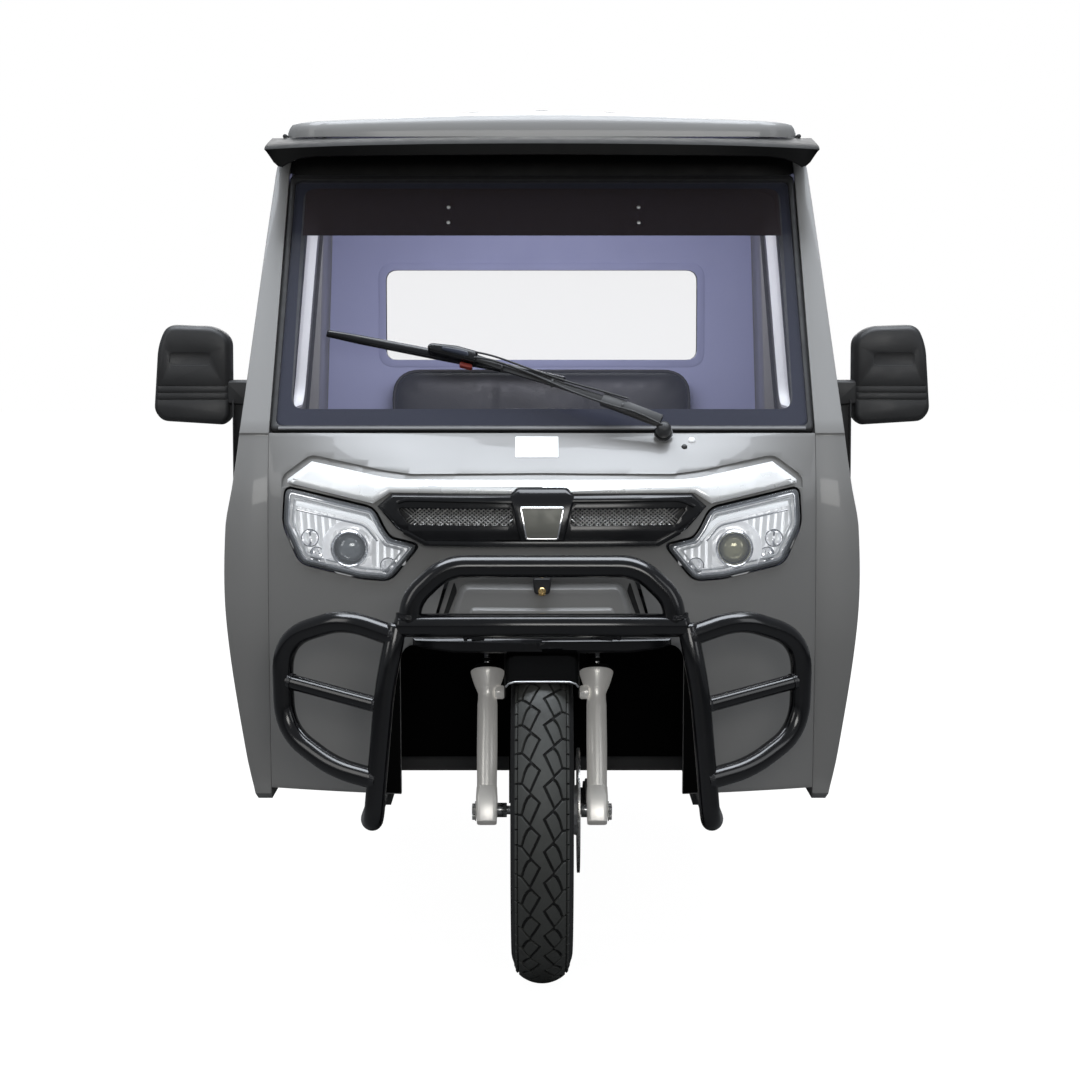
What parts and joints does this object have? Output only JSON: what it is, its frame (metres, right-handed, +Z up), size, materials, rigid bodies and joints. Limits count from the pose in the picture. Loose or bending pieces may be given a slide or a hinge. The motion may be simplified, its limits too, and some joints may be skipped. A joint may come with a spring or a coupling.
{
  "type": "electric cargo tricycle",
  "caption": "Electric cargo tricycle with a closed cab, a steered front wheel in a fork, a tubular front guard and an open cargo bed with a drop tailgate.",
  "frame": {"origin": "centre of the bounding box's base, on the ground under the vehicle", "axes": "+Z up, -Y towards the front, +X towards the vehicle's own left"},
  "size_m": [1.412, 3.0767, 1.5783],
  "materials": {
    "paint": "semi-gloss grey paint",
    "black": "satin moulded plastic",
    "guard": "gloss black paint",
    "frame": "satin black paint",
    "silver": "silver paint",
    "alloy": "cast and painted",
    "bright": "satin bright trim",
    "tyre": "black rubber with tread",
    "rubber": "black seal",
    "glass": "tinted",
    "lens": "clear lens over a bright reflector",
    "seat": "black leatherette"
  },
  "bodies": {
    "body": {"battery_box": "black", "bull_bar": "guard", "cab_floor": "black", "cargo_bed": "paint", "chassis_frame": "frame", "dashboard": "black", "front_panel": "paint", "garnish": "bright", "grille": "black", "headlamp_left": "lens", "headlamp_right": "lens", "mirror_left": "black", "mirror_right": "black", "rear_axle": "frame", "rear_bumper": "black", "rear_mudguard_left": "black", "rear_mudguard_right": "black", "rear_wall": "paint", "rear_window": "glass", "roof": "paint", "roof_visor": "black", "seat_backrest": "seat", "seat_box": "black", "seat_cushion": "seat", "side_frame_left": "paint", "side_frame_right": "paint", "wheel_liner": "black", "windscreen": "glass", "windscreen_frame": "rubber"},
    "steering": {"front_fork": "silver", "front_mudguard": "black", "handlebar": "black", "instrument_pod": "black"},
    "front_wheel_assembly": {"front_tyre": "tyre", "front_wheel": "alloy"},
    "rear_wheel_left_assembly": {"rear_tyre_left": "tyre", "rear_wheel_left": "silver"},
    "rear_wheel_right_assembly": {"rear_tyre_right": "tyre", "rear_wheel_right": "silver"},
    "door_left_assembly": {"door_left": "paint", "door_glass_left": "glass"},
    "door_right_assembly": {"door_right": "paint", "door_glass_right": "glass"},
    "lid": {"front_lid": "paint"},
    "gate": {"tailgate": "paint"},
    "wiper_arm": {"wiper": "black"}
  },
  "joints": [
    {"name": "steering_turn", "type": "hinge", "parent": "body", "child": "steering", "pos_m": [0, -1.19, 0.302], "axis": [0, 0.3746, 0.9272], "range_deg": [-35, 35]},
    {"name": "front_wheel_spin", "type": "hinge", "parent": "steering", "child": "front_wheel_assembly", "pos_m": [0, -1.23, 0.302], "axis": [1, 0, 0], "continuous": true},
    {"name": "rear_left_spin", "type": "hinge", "parent": "body", "child": "rear_wheel_left_assembly", "pos_m": [0.46, 0.87007, 0.27], "axis": [1, 0, 0], "continuous": true},
    {"name": "rear_right_spin", "type": "hinge", "parent": "body", "child": "rear_wheel_right_assembly", "pos_m": [-0.46, 0.87007, 0.27], "axis": [1, 0, 0], "continuous": true},
    {"name": "door_left_swing", "type": "hinge", "parent": "body", "child": "door_left_assembly", "pos_m": [0.572, -0.862, 0.52], "axis": [0, 0, -1], "range_deg": [0, 60]},
    {"name": "door_right_swing", "type": "hinge", "parent": "body", "child": "door_right_assembly", "pos_m": [-0.572, -0.862, 0.52], "axis": [0, 0, 1], "range_deg": [0, 60]},
    {"name": "lid_drop", "type": "hinge", "parent": "body", "child": "lid", "pos_m": [0, -1.33877, 0.622], "axis": [1, 0, 0], "range_deg": [0, 50]},
    {"name": "gate_drop", "type": "hinge", "parent": "body", "child": "gate", "pos_m": [0, 1.533, 0.592], "axis": [-1, 0, 0], "range_deg": [0, 90]},
    {"name": "wiper_sweep", "type": "hinge", "parent": "body", "child": "wiper_arm", "pos_m": [0.212, -1.21382, 0.95997], "axis": [0, 0.8788, -0.4772], "range_deg": [-14, 30]}
  ]
}
